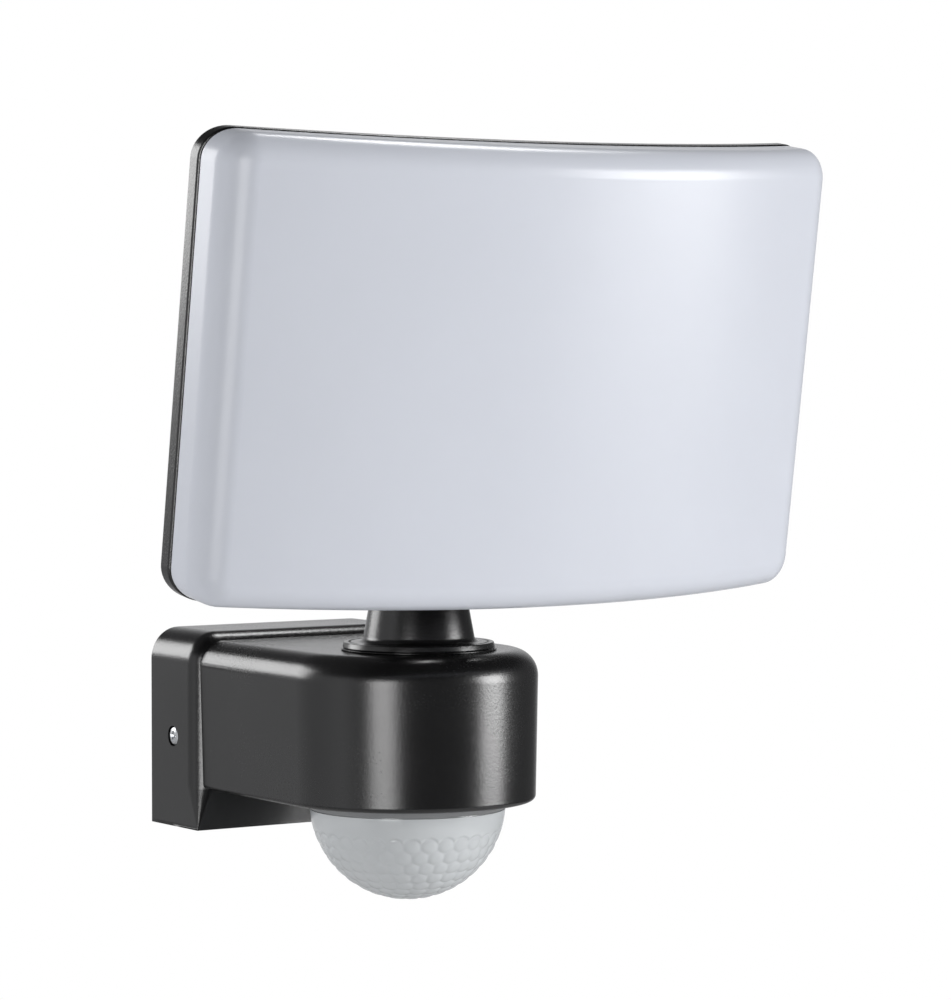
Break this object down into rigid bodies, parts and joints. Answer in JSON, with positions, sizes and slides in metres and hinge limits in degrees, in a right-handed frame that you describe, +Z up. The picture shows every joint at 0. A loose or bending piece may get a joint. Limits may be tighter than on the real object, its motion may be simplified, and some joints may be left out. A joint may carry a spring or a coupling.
{
  "type": "wall floodlight with motion sensor",
  "caption": "Outdoor wall light: curved opal light panel on a swivelling, tilting neck over a boxy arm with a domed motion sensor underneath.",
  "frame": {"origin": "middle of the wall bracket's back face, on the wall", "axes": "+X to the right as a person faces the lamp, +Y into the wall, +Z up"},
  "size_m": [0.228, 0.194, 0.2487],
  "materials": {
    "black_casting": "black satin powder coat with a fine grain",
    "black_plastic": "black, lightly textured",
    "rubber": "matt black",
    "lead_sheath": "black flexible sheath",
    "opal_diffuser": "white opal acrylic, glossy outside",
    "sensor_lens": "cloudy translucent grey with moulded lens cells inside",
    "grey_plastic": "mid grey, satin",
    "steel": "bright zinc plated",
    "circuit_board": "green solder mask",
    "led_board": "white solder mask on aluminium",
    "led_phosphor": "yellow phosphor gel",
    "terminal_plastic": "off-white, satin",
    "relay_plastic": "blue moulded case",
    "capacitor_case": "dark red and black coated case",
    "brass": "plain turned"
  },
  "bodies": {
    "base": {"base_housing": "black_casting", "cable_grommet": "rubber", "clamp_screw_left": "steel", "clamp_screw_right": "steel", "control_board": "circuit_board", "control_screw_left": "steel", "control_screw_right": "steel", "cover_screw_left": "steel", "cover_screw_right": "steel", "lead_base": "lead_sheath", "lead_mains": "lead_sheath", "light_sensor": "terminal_plastic", "lux_pot": "relay_plastic", "mains_capacitor": "capacitor_case", "motion_sensor": "steel", "range_pot": "relay_plastic", "relay": "relay_plastic", "relay_board": "circuit_board", "relay_screw_left": "steel", "relay_screw_right": "steel", "sensor_dome": "sensor_lens", "sensor_ring": "grey_plastic", "swivel_seal": "rubber", "swivel_seat": "black_plastic", "terminal_block": "terminal_plastic", "terminal_screw_earth": "brass", "terminal_screw_live": "brass", "terminal_screw_neutral": "brass", "time_pot": "relay_plastic", "under_cover": "black_plastic", "wall_bracket": "steel"},
    "neck": {"neck": "black_casting", "swivel_washer": "steel", "swivel_nut": "brass", "lead_neck": "lead_sheath", "knuckle_spacer": "steel"},
    "head": {"head_back": "black_casting", "diffuser_gasket": "rubber", "diffuser": "opal_diffuser", "head_screw_top_left": "steel", "head_screw_top_right": "steel", "head_screw_bottom_left": "steel", "head_screw_bottom_right": "steel", "led_board_left": "led_board", "led_board_centre": "led_board", "led_board_right": "led_board", "led_strip_left": "led_phosphor", "led_strip_centre": "led_phosphor", "led_strip_right": "led_phosphor", "driver_board": "circuit_board", "driver_transformer": "terminal_plastic", "driver_capacitor": "capacitor_case", "lead_head": "lead_sheath", "tilt_bolt": "steel", "tilt_nut": "steel"},
    "time_dial": {"time_dial": "grey_plastic"},
    "lux_dial": {"lux_dial": "grey_plastic"},
    "range_dial": {"range_dial": "grey_plastic"}
  },
  "joints": [
    {"name": "head_pan", "type": "hinge", "parent": "base", "child": "neck", "pos_m": [0, -0.0984, 0.0306], "axis": [0, 0, 1], "range_deg": [-50, 50]},
    {"name": "head_tilt", "type": "hinge", "parent": "neck", "child": "head", "pos_m": [0, -0.0984, 0.074], "axis": [1, 0, 0], "range_deg": [-20, 20]},
    {"name": "time_dial_turn", "type": "hinge", "parent": "base", "child": "time_dial", "pos_m": [-0.02, -0.045, -0.0205], "axis": [0, 0, 1], "range_deg": [-135, 135]},
    {"name": "lux_dial_turn", "type": "hinge", "parent": "base", "child": "lux_dial", "pos_m": [0, -0.045, -0.0205], "axis": [0, 0, 1], "range_deg": [-135, 135]},
    {"name": "range_dial_turn", "type": "hinge", "parent": "base", "child": "range_dial", "pos_m": [0.02, -0.045, -0.0205], "axis": [0, 0, 1], "range_deg": [-135, 135]}
  ]
}
